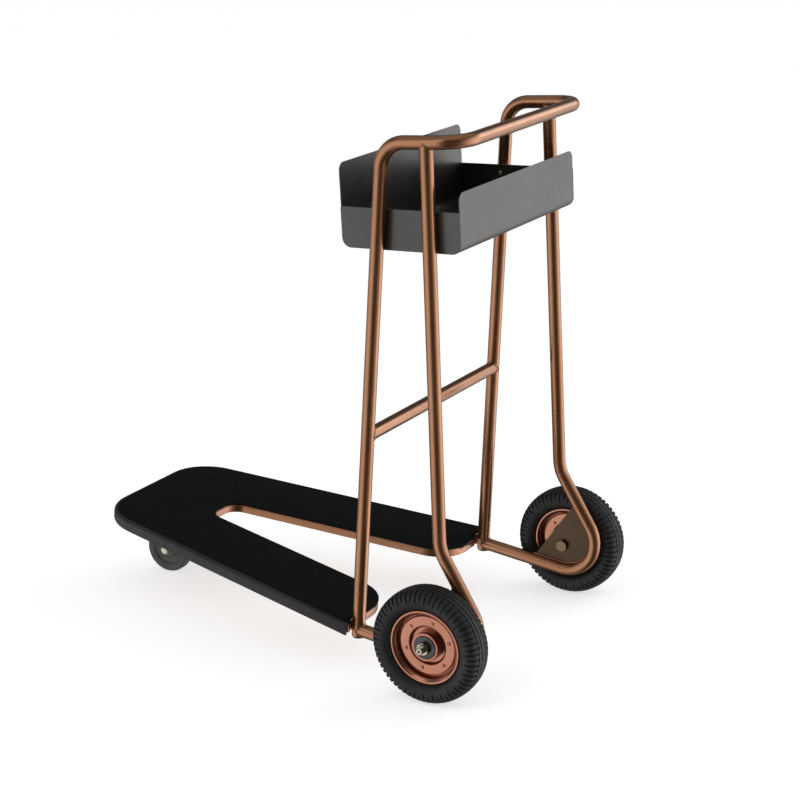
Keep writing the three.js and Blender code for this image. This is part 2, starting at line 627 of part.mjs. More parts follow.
function addCaster(cart) {
  const { kingpinX: x, trail, height, plateX, plateY: plateLength, crownZ, forkSheet } = CASTER;
  const plateT = 3;
  const holes = casterBoltPlaces().map(([bx, by]) => barZ(4.4, 0, 300, 8, bx, by));
  const plate = box(x - plateX / 2, x + plateX / 2, -plateLength / 2, plateLength / 2,
    height - plateT, height);
  const cup = barZ(24, height - plateT - 7, height - plateT + 1, 18, x, 0);
  const cupHollow = barZ(21, height - plateT - 8, height - plateT, 18, x, 0);
  const pinHole = barZ(6 + GAP, 0, 300, 16, x, 0);
  cart.add(part('caster_plate', cut(join(plate, cup), cupHollow, pinHole, ...holes), zinc()));
  casterBoltPlaces().forEach(([bx, by], i) => {
    const under = height - plateT - GAP;
    const over = height + GAP + BRACKET.sheet + GAP;
    const bolt = join(barZ(hexRadius(13), under - 5.5, under, 6), barZ(4, under - 1, over + 3, 8),
      barZ(hexRadius(13), over, over + 6, 6));
    const name = `caster_bolt_${['rear_right', 'rear_left', 'front_right', 'front_left'][i]}`;
    const mesh = part(name, bolt, zinc());
    mesh.position.set(bx, by, 0);
    cart.add(mesh);
  });
  const crownTop = crownZ + forkSheet;
  const kingpin = join(barZ(6, crownZ - 2, height + 3.5, 16), barZ(11, crownZ - 5, crownZ - GAP, 16),
    barZ(8.5, height + GAP, height + 3.5, 16));
  const pin = part('caster_kingpin', kingpin, zinc());
  pin.position.x = x;
  cart.add(pin);
  const race = cut(barZ(20, crownTop + GAP, height - plateT - GAP, 16), barZ(6.6, 0, 300, 16));
  const raceMesh = part('caster_ball_race', race, darkSteel());
  raceMesh.position.x = x;
  cart.add(raceMesh);
  cart.add(part('caster_fork', forkBody(), zinc()));
  addCasterWheel(cart, x + trail);
}

function addCasterWheel(cart, x) {
  const { wheelR, wheelHalfWidth: w, forkInner, forkSheet } = CASTER;
  const wheel = new THREE.Group();
  wheel.position.set(x, 0, wheelR);
  cart.add(wheel);
  const tread = [
    [wheelR - 7, -w], [wheelR - 2, -w + 2], [wheelR, -w + 7], [wheelR, w - 7], [wheelR - 2, w - 2],
    [wheelR - 7, w], [37, w], [37, -w],
  ];
  wheel.add(part('caster_tread', ringY(tread, 24), casterGrey()));
  const web = [
    [36.7, -w + 0.5], [36.7, w - 0.5], [32, w - 0.5], [30, 9.5], [17, 9.5], [15, w - GAP], [9.3, w - GAP],
    [9.3, -w + GAP], [15, -w + GAP], [17, -9.5], [30, -9.5], [32, -w + 0.5],
  ];
  wheel.add(part('caster_core', ringY(web, 24), casterGrey()));
  const bore = 4.6 / Math.cos(Math.PI / 16) + RUNNING;
  wheel.add(part('caster_bush', ringY([[bore, -w], [9, -w], [9, w], [bore, w]], 16), darkSteel()));
  const sleeve = forkInner - GAP;
  const spindle = ringY([[4.3, -sleeve], [4.6, -sleeve], [4.6, sleeve], [4.3, sleeve]], 16);
  wheel.add(part('caster_spacer_tube', spindle, zinc()));
  const outside = forkInner + forkSheet + GAP;
  const flange = barY(9.5, outside, outside + 1.5, 24);
  const shank = barY(4, -outside - 7.5, outside + 1, 14);
  const bolt = join(barY(hexRadius(13), outside, outside + 5, 6), flange, shank);
  wheel.add(part('caster_axle_bolt', bolt, zinc()));
  const nut = cut(barY(hexRadius(13), -outside - 6.5, -outside, 6), barY(4 + GAP, -99, 99, 14));
  wheel.add(part('caster_axle_nut', nut, zinc()));
}

// ---- assembly --------------------------------------------------------------------------------------
const assembly = new THREE.Group();
addFrame(assembly);
addDeck(assembly);
addBasket(assembly);
addWheel(assembly, 1, 'left');
addWheel(assembly, -1, 'right');
addCaster(assembly);

assembly.updateMatrixWorld(true);
const extent = new THREE.Box3().setFromObject(assembly, true);
assembly.position.x = -(extent.min.x + extent.max.x) / 2;

const luggageCart = new THREE.Group();
luggageCart.add(assembly);

export default luggageCart;
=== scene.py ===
"""A rigid nesting luggage cart, dressed over its CAD frame.

Lengths are in millimetres, from the point on the floor under the middle of the rear axle line: +x to
the nose, +y to the cart's left, +z up. build() turns them into metres.
"""
import json
import math

import bmesh
import bpy
import numpy as np
from mathutils import Matrix, Vector


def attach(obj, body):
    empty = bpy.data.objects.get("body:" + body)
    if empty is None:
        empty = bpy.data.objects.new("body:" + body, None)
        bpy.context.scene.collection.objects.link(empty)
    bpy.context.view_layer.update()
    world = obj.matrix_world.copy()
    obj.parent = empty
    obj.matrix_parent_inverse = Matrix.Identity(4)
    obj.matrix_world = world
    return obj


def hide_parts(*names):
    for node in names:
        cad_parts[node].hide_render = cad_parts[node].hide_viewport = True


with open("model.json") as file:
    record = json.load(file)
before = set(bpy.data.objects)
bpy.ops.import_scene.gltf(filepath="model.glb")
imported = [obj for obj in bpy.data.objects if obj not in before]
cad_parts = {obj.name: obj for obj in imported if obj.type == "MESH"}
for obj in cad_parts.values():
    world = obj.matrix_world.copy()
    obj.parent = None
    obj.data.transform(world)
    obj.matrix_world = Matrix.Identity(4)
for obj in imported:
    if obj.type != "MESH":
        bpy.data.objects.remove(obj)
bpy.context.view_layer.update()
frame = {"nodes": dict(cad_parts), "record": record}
joints = {joint["name"]: joint for joint in frame["record"]["behaviour"]["joints"]}
AXLE_X = joints["wheel_left_spin"]["pos_m"][0]

# ---- dimensions -------------------------------------------------------------------------------------
TUBE_R = 12.5
WHEEL_R = 110
HALF_TRACK = 296.5
FOOT = (179.3, 84.5)                # x and z where the front post meets the bottom bar
POST_LEAN = 0.0695
FRAME_HALF = 250.8
FRAME_TAPER = 0.0135
HANDLE_CORNER_Z = 1005.5
HANDLE_BAR = (-41, 1016)
REAR_TOP_X = 27.9
REAR_BEND = (4.8, 273.7)
LOOP_CORNER = (-134.5, 44)
CROSSBAR_Z = 468
DECK_TILT = math.radians(7)
DECK_Z0 = 83.7
NOSE_X = 848
NOSE_HALF = 168
SIDE_TAPER = 0.1775
DECK_REAR_X = 185
SLOT_REAR_HALF = 123
SLOT_APEX_X = 893
SLOT_END_X = 663
NOTCH_X = 194.5                     # the U-shaped notch round each front post's foot
NOTCH_INNER_Y, NOTCH_OUTER_Y = 229, 267
MAT_T = 5
MAT_INSET = 7.3
TRAY_DEPTH = 16
BUMPER_INSET = 7
BUMPER_END_X = 187.8
BASKET_TILT = math.radians(2.2)
BASKET_X, BASKET_Z = 87.5, 812.8
BASKET_HALF, BASKET_DEPTH = 227, 240
BASKET_SHEET = 1.6
BASKET_SCREW_Z = 868
CASTER_X, TRAIL, CASTER_R = 763, 33, 50
GUSSET_IN_Y = 254
GUSSET_FACES = (253.6, 259.4)       # y of the weld beads along the gusset's two faces
LUGS = 62
RIVETS, RIVET_CIRCLE_R = 6, 46
BOLT_R = 6.95
NUT_ACROSS = 22


# ---- materials --------------------------------------------------------------------------------------
def linear(*rgb):
    return [((c / 255 + 0.055) / 1.055) ** 2.4 if c > 10 else c / 255 / 12.92 for c in rgb] + [1]


class Finish:
    """A Principled material whose colour, roughness and bump vary with noise in object space."""

    def __init__(self, name, metallic=0.0, specular=0.5, coat=0.0, coat_roughness=0.1):
        self.material = bpy.data.materials.new(name)
        self.material.use_nodes = True
        self.tree = self.material.node_tree
        self.shader = self.tree.nodes["Principled BSDF"]
        self.shader.inputs["Metallic"].default_value = metallic
        self.shader.inputs["Specular IOR Level"].default_value = specular
        self.shader.inputs["Coat Weight"].default_value = coat
        self.shader.inputs["Coat Roughness"].default_value = coat_roughness
        self.where = self.tree.nodes.new("ShaderNodeTexCoord").outputs["Object"]

    def join(self, output, target):
        self.tree.links.new(output, target)

    def noise(self, scale, detail=4, roughness=0.55, stretch=None):
        node = self.tree.nodes.new("ShaderNodeTexNoise")
        node.inputs["Scale"].default_value = scale
        node.inputs["Detail"].default_value = detail
        node.inputs["Roughness"].default_value = roughness
        source = self.where
        if stretch:
            mapping = self.tree.nodes.new("ShaderNodeMapping")
            mapping.inputs["Scale"].default_value = stretch
            self.join(source, mapping.inputs["Vector"])
            source = mapping.outputs["Vector"]
        self.join(source, node.inputs["Vector"])
        return node.outputs["Fac"]

    def ramp(self, fac, low, high, start=0.35, end=0.65):
        node = self.tree.nodes.new("ShaderNodeValToRGB")
        node.color_ramp.elements[0].position = start
        node.color_ramp.elements[1].position = end
        node.color_ramp.elements[0].color = low
        node.color_ramp.elements[1].color = high
        self.join(fac, node.inputs["Fac"])
        return node.outputs["Color"]

    def span(self, fac, low, high, start=0.3, end=0.7):
        node = self.tree.nodes.new("ShaderNodeMapRange")
        node.inputs["From Min"].default_value = start
        node.inputs["From Max"].default_value = end
        node.inputs["To Min"].default_value = low
        node.inputs["To Max"].default_value = high
        self.join(fac, node.inputs["Value"])
        return node.outputs["Result"]

    def mix(self, fac, one, two, blend="MIX"):
        node = self.tree.nodes.new("ShaderNodeMix")
        node.data_type = "RGBA"
        node.blend_type = blend
        if isinstance(fac, float):
            node.inputs["Factor"].default_value = fac
        else:
            self.join(fac, node.inputs["Factor"])
        for value, socket in ((one, node.inputs["A"]), (two, node.inputs["B"])):
            if isinstance(value, list):
                socket.default_value = value
            else:
                self.join(value, socket)
        return node.outputs["Result"]

    # Lighter towards sharp edges, found by Pointiness: partly edge wear, partly a painted highlight along
    # the edges.
    def edge_wear_and_highlight(self, amount):
        geometry = self.tree.nodes.new("ShaderNodeNewGeometry")
        return self.span(geometry.outputs["Pointiness"], 0.0, amount, 0.51, 0.56)

    def colour(self, output):
        self.join(output, self.shader.inputs["Base Color"])

    def rough(self, output):
        self.join(output, self.shader.inputs["Roughness"])

    def bump(self, *layers):
        """Each layer is (height, strength, distance in metres)."""
        below = None
        for height, strength, distance in layers:
            node = self.tree.nodes.new("ShaderNodeBump")
            node.inputs["Strength"].default_value = strength
            node.inputs["Distance"].default_value = distance
            self.join(height, node.inputs["Height"])
            if below:
                self.join(below, node.inputs["Normal"])
            below = node.outputs["Normal"]
        self.join(below, self.shader.inputs["Normal"])


def metallic_paint(name, low, high, rough, coat=0.25):
    """Sprayed metallic paint: fine flakes, an orange-peel skin and faint handling marks."""
    paint = Finish(name, metallic=0.9, coat=coat, coat_roughness=0.16)
    base = paint.ramp(paint.noise(9, 5), low, high, 0.3, 0.7)
    flakes = paint.ramp(paint.noise(2600, 1), [0.86, 0.86, 0.86, 1], [1, 1, 1, 1], 0.4, 0.62)
    base = paint.mix(0.8, base, flakes, "MULTIPLY")
    marks = paint.ramp(paint.noise(70, 8, 0.7), [0.9, 0.9, 0.9, 1], [1, 1, 1, 1], 0.3, 0.45)
    paint.colour(paint.mix(0.6, base, marks, "MULTIPLY"))
    paint.rough(paint.span(paint.noise(35, 6), rough - 0.05, rough + 0.07))
    paint.bump((paint.noise(420, 3), 0.007, 0.0004), (paint.noise(2600, 1), 0.004, 0.0001))
    return paint.material


def rubber(name, low, high, rough=0.75, grain=700, specular=0.35):
    skin = Finish(name, specular=specular)
    dust = skin.ramp(skin.noise(14, 7, 0.6), low, high, 0.35, 0.75)
    # Sharp edges, the tyre lugs' most of all, are mixed to the lighter tone: edge wear and a painted
    # highlight.
    skin.colour(skin.mix(skin.edge_wear_and_highlight(0.25), dust, high))
    skin.rough(skin.span(skin.noise(60, 5), rough - 0.08, rough + 0.1))
    skin.bump((skin.noise(grain, 3), 0.25, 0.0003), (skin.noise(90, 4), 0.12, 0.0006))
    return skin.material


def plated(name, low, high, rough=0.3):
    """Zinc plate with faint drawn streaks."""
    plate = Finish(name, metallic=1.0)
    plate.colour(plate.ramp(plate.noise(40, 6), low, high))
    plate.rough(plate.span(plate.noise(160, 4), rough - 0.07, rough + 0.12))
    plate.bump((plate.noise(900, 2, stretch=(1, 0.08, 1)), 0.12, 0.0002))
    return plate.material


def sheet_paint():
    """Anthracite powder coat on the basket: satin, very finely textured."""
    coat = Finish("anthracite_powder_coat", metallic=0.6, coat=0.6, coat_roughness=0.25)
    base = coat.ramp(coat.noise(5, 6), linear(54, 51, 49), linear(64, 61, 59), 0.3, 0.7)
    smears = coat.ramp(coat.noise(22, 8, 0.7), [0.88, 0.88, 0.88, 1], [1, 1, 1, 1], 0.3, 0.55)
    coat.colour(coat.mix(0.7, base, smears, "MULTIPLY"))
    coat.rough(coat.span(coat.noise(30, 6), 0.3, 0.38))
    coat.bump((coat.noise(1500, 2), 0.12, 0.0002), (coat.noise(7, 2), 0.05, 0.002))
    return coat.material


def mat_rubber():
    """The deck's mat: black and dry, with a fine leathery grain and faint scuffs along the cart."""
    mat = Finish("deck_mat_rubber", specular=0.13)
    dust = mat.ramp(mat.noise(11, 8, 0.65), linear(11, 12, 13), linear(17, 18, 19), 0.35, 0.7)
    streaks = mat.noise(60, 5, stretch=(0.25, 3, 1))
    scuffs = mat.ramp(streaks, [0, 0, 0, 1], [0.02, 0.02, 0.02, 1], 0.62, 0.8)
    mat.colour(mat.mix(0.35, dust, scuffs, "ADD"))
    mat.rough(mat.span(mat.noise(80, 5), 0.7, 0.88))
    cells = mat.tree.nodes.new("ShaderNodeTexVoronoi")
    cells.inputs["Scale"].default_value = 520
    mat.join(mat.where, cells.inputs["Vector"])
    mat.bump((cells.outputs["Distance"], 0.3, 0.0004), (mat.noise(1400, 2), 0.15, 0.0002))
    return mat.material


BRONZE = metallic_paint("bronze_paint", linear(153, 102, 67), linear(167, 115, 79), 0.27, 0.6)
GUSSET = metallic_paint("dark_bronze_paint", linear(72, 57, 41), linear(84, 67, 49), 0.4, 0.1)
# The gussets' dark bronze, lightened: a painted highlight for the light that falls on the bolt heads'
# faces.
BOLT_HEAD_LIT = metallic_paint("bolt_head_lit_paint", linear(108, 86, 63), linear(122, 98, 73), 0.35, 0.4)
COPPER = metallic_paint("rim_copper_paint", linear(164, 103, 78), linear(178, 117, 91), 0.2, 0.7)
TYRE = rubber("tyre_rubber", linear(26, 26, 26), linear(40, 40, 39), 0.55, 700, 0.35)
BUMPER = rubber("bumper_rubber", linear(34, 34, 34), linear(44, 44, 43), 0.45, 900, 0.3)
PLUG = rubber("plug_rubber", linear(24, 24, 24), linear(34, 34, 34), 0.7)
CASTER_GREY = rubber("caster_rubber", linear(62, 62, 62), linear(78, 78, 77), 0.5, 900)
ZINC = plated("zinc_plate", linear(160, 153, 135), linear(188, 182, 167), 0.22)
DARK_STEEL = plated("dark_steel", linear(62, 62, 61), linear(84, 83, 82), 0.32)
SHEET = sheet_paint()
MAT = mat_rubber()


# ---- mesh building ----------------------------------------------------------------------------------
def build(name, shape, material, body, replaces=(), place=(0, 0, 0), sharp=38, bevel=0.0):
    points, faces = shape
    points = (np.asarray(points, float) + place) / 1000
    points[:, 0] += AXLE_X
    mesh = bpy.data.meshes.new(name)
    mesh.from_pydata(points.tolist(), [], faces)
    mesh.validate()
    mesh.polygons.foreach_set("use_smooth", [True] * len(mesh.polygons))
    mesh.set_sharp_from_angle(angle=math.radians(sharp))
    mesh.materials.append(material)
    piece = bpy.data.objects.new(name, mesh)
    bpy.context.scene.collection.objects.link(piece)
    if bevel:
        add_bevel(piece, bevel)
    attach(piece, body)
    if replaces:
        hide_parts(*replaces)
    return piece


def add_bevel(piece, width):
    edge = piece.modifiers.new("edge_round", "BEVEL")
    edge.width = width / 1000
    edge.segments = 3
    edge.limit_method = "ANGLE"
    edge.angle_limit = math.radians(50)
    edge.harden_normals = True


def joined(*shapes):
    points, faces = [], []
    for more_points, more_faces in shapes:
        start = len(points)
        points.extend(np.asarray(more_points, float).tolist())
        faces.extend([[start + i for i in face] for face in more_faces])
    return points, faces


def shifted(shape, by):
    return (np.asarray(shape[0], float) + by).tolist(), shape[1]


def flipped(shape):
    """The mirror image across the cart's mid-plane, its faces still turned outwards."""
    return (np.asarray(shape[0], float) * (1, -1, 1)).tolist(), [face[::-1] for face in shape[1]]


def grid_faces(rows, columns, wrap_rows=False, wrap_columns=False):
    faces = []
    for i in range(rows if wrap_rows else rows - 1):
        for j in range(columns if wrap_columns else columns - 1):
            near, far = i * columns, (i + 1) % rows * columns
            after = (j + 1) % columns
            faces.append([near + j, near + after, far + after, far + j])
    return faces


def rounded(corners, degrees=8, closed=True):
    """2-D corners (x, y, radius) as a polyline whose corners are arcs."""
    points = []
    count = len(corners)
    for i, (x, y, radius) in enumerate(corners):
        here = np.array([x, y], float)
        if not radius or (not closed and i in (0, count - 1)):
            points.append(here)
            continue
        back = np.array(corners[i - 1][:2], float) - here
        ahead = np.array(corners[(i + 1) % count][:2], float) - here
        back /= np.linalg.norm(back)
        ahead /= np.linalg.norm(ahead)
        half = math.acos(np.clip(back @ ahead, -1, 1)) / 2
        inward = (back + ahead) / np.linalg.norm(back + ahead)
        centre = here + inward * radius / math.sin(half)
        start = here + back * radius / math.tan(half) - centre
        side = math.copysign(1, back[1] * ahead[0] - back[0] * ahead[1])
        total = side * (math.pi - 2 * half)
        steps = max(2, math.ceil(abs(math.degrees(total)) / degrees))
        for k in range(steps + 1):
            c, s = math.cos(total * k / steps), math.sin(total * k / steps)
            points.append(centre + (c * start[0] - s * start[1], s * start[0] + c * start[1]))
    return np.array(points)


def lathe(profile, segments=96):
    """A closed profile of (radius, y) turned about Y."""
    angle = np.arange(segments) * 2 * math.pi / segments
    radius, along = np.array(profile, float).T
    points = np.stack([np.outer(np.cos(angle), radius), np.tile(along, (segments, 1)),
                       np.outer(np.sin(angle), radius)], -1)
    points = points.reshape(-1, 3)
    return points, oriented(points, grid_faces(segments, len(radius), True, True))


def oriented(points, faces):
    """Faces of a closed shape, turned so that they look outwards."""
    points = np.asarray(points, float)
    volume = 0
    for face in faces:
        a = points[face[0]]
        for b, c in zip(face[1:-1], face[2:]):
            volume += a @ np.cross(points[b], points[c])
    return faces if volume > 0 else [face[::-1] for face in faces]


def about_z(shape):
    """A shape turned about Y becomes one about Z."""
    points = np.asarray(shape[0], float)
    return np.stack([points[:, 0], -points[:, 2], points[:, 1]], -1), shape[1]


def bent_path(corners, degrees=5):
    """Corners (point, bend radius) as lists of points and directions."""
    points, directions = [], []
    for i, (here, bend) in enumerate(corners):
        here = np.array(here, float)
        before = here - np.array(corners[i - 1][0], float) if i else None
        after = np.array(corners[i + 1][0], float) - here if i + 1 < len(corners) else None
        if before is None or after is None:
            line = after if before is None else before
            points.append(here)
            directions.append(line / np.linalg.norm(line))
            continue
        before /= np.linalg.norm(before)
        after /= np.linalg.norm(after)
        angle = math.acos(np.clip(before @ after, -1, 1))
        axis = np.cross(before, after)
        axis /= np.linalg.norm(axis)
        start = here - before * bend * math.tan(angle / 2)
        centre = start + np.cross(axis, before) * bend
        steps = max(2, math.ceil(math.degrees(angle) / degrees))
        for k in range(steps + 1):
            c, s = math.cos(angle * k / steps), math.sin(angle * k / steps)
            arm = start - centre
            points.append(centre + arm * c + np.cross(axis, arm) * s)
            directions.append(before * c + np.cross(axis, before) * s)
    return np.array(points), np.array(directions)


def frames(directions, first):
    """A normal for each station, carried along the path without twist."""
    normal = np.array(first, float)
    normals = []
    for direction in directions:
        normal = normal - direction * (normal @ direction)
        if np.linalg.norm(normal) < 1e-3:
            normal = np.cross(direction, (0, 0, 1))
        normal /= np.linalg.norm(normal)
        normals.append(normal)
    return np.array(normals)


def circle(centre, radius, across, over, sides):
    """A ring of points about a centre, in the plane of two unit vectors."""
    angle = np.arange(sides) * 2 * math.pi / sides
    return centre + radius * (np.outer(np.cos(angle), across) + np.outer(np.sin(angle), over))


def skinned(rings, closed=False):
    """A solid through equal rings of points; its first and last rings are filled unless it is closed."""
    rows, columns = len(rings), len(rings[0])
    points = np.concatenate(rings)
    faces = grid_faces(rows, columns, closed, True)
    if not closed:
        faces += [list(range(columns))[::-1], [(rows - 1) * columns + k for k in range(columns)]]
    return points, oriented(points, faces)


def tube(path, sides):
    """A round bar of the cart's tube along a path, its ends closed with a small chamfer."""
    points, directions = path
    normals = frames(directions, (0.2, 1, 0.1))
    binormals = np.cross(directions, normals)
    chamfer = 0.05 * TUBE_R
    last = len(points) - 1
    stations = [(points[0], 0, TUBE_R - chamfer), (points[0] + directions[0] * chamfer, 0, TUBE_R)]
    stations += [(point, i, TUBE_R) for i, point in enumerate(points)][1:-1]
    stations += [(points[-1] - directions[-1] * chamfer, last, TUBE_R),
                 (points[-1], last, TUBE_R - chamfer)]
    return skinned([circle(point, r, normals[i], binormals[i], sides) for point, i, r in stations])


def bead(points, radius, closed=True):
    """A weld bead along a line of points, with the ripples that the torch leaves."""
    ripple, pitch, sides = 0.16, 3.2, 10
    points = np.array(points, float)
    steps = np.linalg.norm(np.diff(points, axis=0, append=points[:1]), axis=1)
    travel = np.concatenate([[0], np.cumsum(steps)[:-1]])
    ahead = np.roll(points, -1, 0) - np.roll(points, 1, 0)
    if not closed:
        ahead[0], ahead[-1] = points[1] - points[0], points[-1] - points[-2]
    ahead /= np.linalg.norm(ahead, axis=1)[:, None]
    normals = frames(ahead, (0.3, 0.4, 0.8))
    across = np.cross(ahead, normals)
    size = radius * (1 + ripple * np.sin(travel * 2 * math.pi / pitch))
    rings = [circle(points[i], size[i], normals[i], across[i], sides) for i in range(len(points))]
    return skinned(rings, closed)


def saddle(end, direction, point, axis):
    """The closed line where a tube that runs along direction to end meets a tube about (point, axis)."""
    direction, axis = (np.array(v, float) / np.linalg.norm(v) for v in (direction, axis))
    side = np.cross(direction, axis)
    side /= np.linalg.norm(side)
    up = np.cross(side, direction)
    line = []
    for start in circle(np.array(end), TUBE_R, side, up, 96):
        gap = start - point - axis * ((start - point) @ axis)
        run = direction - axis * (direction @ axis)
        a, b, c = run @ run, 2 * gap @ run, gap @ gap - TUBE_R ** 2
        root = math.sqrt(max(0.0, b * b - 4 * a * c))
        line.append(start + direction * (-b - root) / (2 * a))
    return line


def slab(outline, top, bottom, round_top, round_bottom, hollow=None):
    """A plate of an outline in (x, y) with rounded edges.

    hollow = (wall, floor) opens its underside, leaving a wall and a floor of those thicknesses.
    """
    outline = np.array(outline, float)
    ahead = np.roll(outline, -1, 0) - outline
    keep = np.linalg.norm(ahead, axis=1) > 1e-6
    outline = outline[keep]
    ahead = np.roll(outline, -1, 0) - outline
    ahead /= np.linalg.norm(ahead, axis=1)[:, None]
    behind = np.roll(ahead, 1, 0)
    area = np.sum(outline[:, 0] * np.roll(outline[:, 1], -1) - np.roll(outline[:, 0], -1) * outline[:, 1])
    turn = 1 if area > 0 else -1
    inward = turn * np.stack([-(ahead + behind)[:, 1], (ahead + behind)[:, 0]], -1)
    inward /= np.linalg.norm(inward, axis=1)[:, None]
    left = turn * np.stack([-ahead[:, 1], ahead[:, 0]], -1)
    inward /= np.clip(np.sum(inward * left, axis=1), 0.35, 1)[:, None]

    def ring(offset, z):
        return np.column_stack([outline + inward * offset, np.full(len(outline), z)])

    rings = []
    if hollow:
        wall, floor = hollow
        rings += [ring(wall + 0.4, top - floor), ring(wall, top - floor - 0.4), ring(wall, bottom)]
    quarter = np.arange(5) * math.pi / 8
    for a in quarter:
        rings.append(ring(round_bottom * (1 - math.sin(a)), bottom + round_bottom * (1 - math.cos(a))))
    for a in quarter:
        rings.append(ring(round_top * (1 - math.cos(a)), top - round_top * (1 - math.sin(a))))
    return skinned(rings)


def plate_y(outline, y0, y1):
    """An outline in (x, z), thick from y0 to y1."""
    low, high = sorted((y0, y1))
    points = [(x, low, z) for x, z in outline] + [(x, high, z) for x, z in outline]
    count = len(outline)
    faces = [[i, (i + 1) % count, count + (i + 1) % count, count + i] for i in range(count)]
    faces += [list(range(count))[::-1], [count + i for i in range(count)]]
    return points, oriented(points, faces)


def hexagon(across, y0, y1, bore=0.0, chamfer=1.1, both=True):
    """A chamfered nut or bolt head about Y. y1 is its outer face."""
    sides = 72
    angle = np.arange(sides) * 2 * math.pi / sides
    flat = across / 2 / np.cos((angle + math.pi / 6) % (math.pi / 3) - math.pi / 6)
    trimmed = np.minimum(flat, across / 2 * 1.01)
    step = math.copysign(chamfer, y1 - y0)
    levels = [(y0, trimmed if both else flat), (y0 + (step if both else 0) * 0.6, flat),
              (y1 - step * 0.6, flat), (y1, trimmed)]
    levels += [(y1 - 0.4 * step, np.full(sides, bore)), (y0, np.full(sides, bore))] if bore else []
    points = np.concatenate([np.column_stack([r * np.cos(angle), np.full(sides, y), r * np.sin(angle)])
                             for y, r in levels])
    faces = grid_faces(len(levels), sides, bool(bore), True)
    if not bore:
        faces += [list(range(sides))[::-1], [(len(levels) - 1) * sides + k for k in range(sides)]]
    return points, oriented(points, faces)


# ---- frame ------------------------------------------------------------------------------------------
def frame_y(z):
    return FRAME_HALF - FRAME_TAPER * (z - FOOT[1])


def front_x(z):
    return FOOT[0] - POST_LEAN * (z - FOOT[1])


def rear_x(z):
    return REAR_BEND[0] + (z - REAR_BEND[1]) * (REAR_TOP_X - REAR_BEND[0]) / (HANDLE_BAR[1] - REAR_BEND[1])


def frame_point(x, z, side=1):
    return (x, side * frame_y(z), z)


def resampled(points, pitch):
    """Points every pitch millimetres along a line."""
    travel = np.concatenate([[0], np.cumsum(np.linalg.norm(np.diff(points, axis=0), axis=1))])
    at = np.arange(0, travel[-1], pitch)
    return np.column_stack([np.interp(at, travel, points[:, k]) for k in range(3)])


def make_frame():
    foot_z = FOOT[1] - TUBE_R
    half = [(frame_point(front_x(foot_z), foot_z), 0),
            (frame_point(front_x(HANDLE_CORNER_Z), HANDLE_CORNER_Z), 50),
            (frame_point(*HANDLE_BAR), 50)]
    other = [((x, -y, z), bend) for (x, y, z), bend in half[::-1]]
    hoop = tube(bent_path(half + other, 4), 56)
    build("hoop_tube", hoop, BRONZE, "frame", ["main_hoop"])

    top_z = HANDLE_BAR[1] - 9
    corners = [(frame_point(rear_x(top_z), top_z), 0), (frame_point(*REAR_BEND), 80),
               (frame_point(*LOOP_CORNER), 66), (frame_point(*FOOT), 0)]
    side_path = bent_path(corners, 4)
    side = tube(side_path, 56)
    post = np.array(frame_point(front_x(1000), 1000)) - frame_point(front_x(100), 100)
    arm = np.array(frame_point(*HANDLE_BAR)) - frame_point(front_x(HANDLE_CORNER_Z), HANDLE_CORNER_Z)
    top_weld = bead(saddle(side_path[0][0], -side_path[1][0], frame_point(*HANDLE_BAR), arm), 1.2)
    foot_weld = bead(saddle(side_path[0][-1], side_path[1][-1], frame_point(*FOOT), post), 1.7)
    bar_left, bar_right = (frame_point(front_x(CROSSBAR_Z), CROSSBAR_Z, s) for s in (1, -1))
    cross_weld = bead(saddle(bar_left, (0, 1, 0), bar_left, post), 1.7)
    crossbar = tube(bent_path([(bar_right, 0), (bar_left, 0)]), 48)
    build("crossbar_tube", joined(crossbar, cross_weld, flipped(cross_weld)), BRONZE,
          "frame", ["crossbar"])

    loop = loop_welds(side_path)
    for word, turn in (("left", lambda shape: shape), ("right", flipped)):
        welded = turn(joined(side, top_weld, foot_weld, loop))
        build(f"side_tube_{word}", welded, BRONZE, "frame", [f"side_frame_{word}"])
        plug = about_z(lathe(rounded([(0.01, -2.5, 0), (11, -2.5, 1), (11, 0, 0.2), (10, 0.1, 0),
                                      (10, 13, 1), (0.01, 13, 0)]), 48))
        lean = np.array([[math.cos(POST_LEAN), 0, -math.sin(POST_LEAN)], [0, 1, 0],
                         [math.sin(POST_LEAN), 0, math.cos(POST_LEAN)]])
        place = np.array(frame_point(front_x(foot_z), foot_z))
        leaning = turn(shifted((plug[0] @ lean.T, plug[1]), place))
        build(f"foot_plug_{word}", leaning, PLUG, "frame", [f"post_plug_{word}"])


def loop_welds(side_path):
    """Two beads that join the gusset's faces to the inside of the loop."""
    points, directions = side_path
    keep = [i for i in range(len(points)) if points[i][2] < 262 and points[i][0] < 190]
    chosen = points[keep]
    ahead = directions[keep]
    inward = np.cross(ahead, (0, 1, 0))
    inward /= np.linalg.norm(inward, axis=1)[:, None]
    middle = np.array([0, frame_y(WHEEL_R), WHEEL_R])
    inward *= np.sign(np.sum(inward * (middle - chosen), axis=1))[:, None]
    welds = []
    for face in GUSSET_FACES:
        depth = math.sqrt(TUBE_R ** 2 - (face - frame_y(WHEEL_R)) ** 2)
        line = chosen + inward * (depth + 0.3)
        line[:, 1] = face
        fine = resampled(line, 1.2)
        inside = fine[(fine[:, 2] < 207) & (fine[:, 0] < 66)]
        welds.append(bead(inside, 1.5, closed=False))
    return joined(*welds)


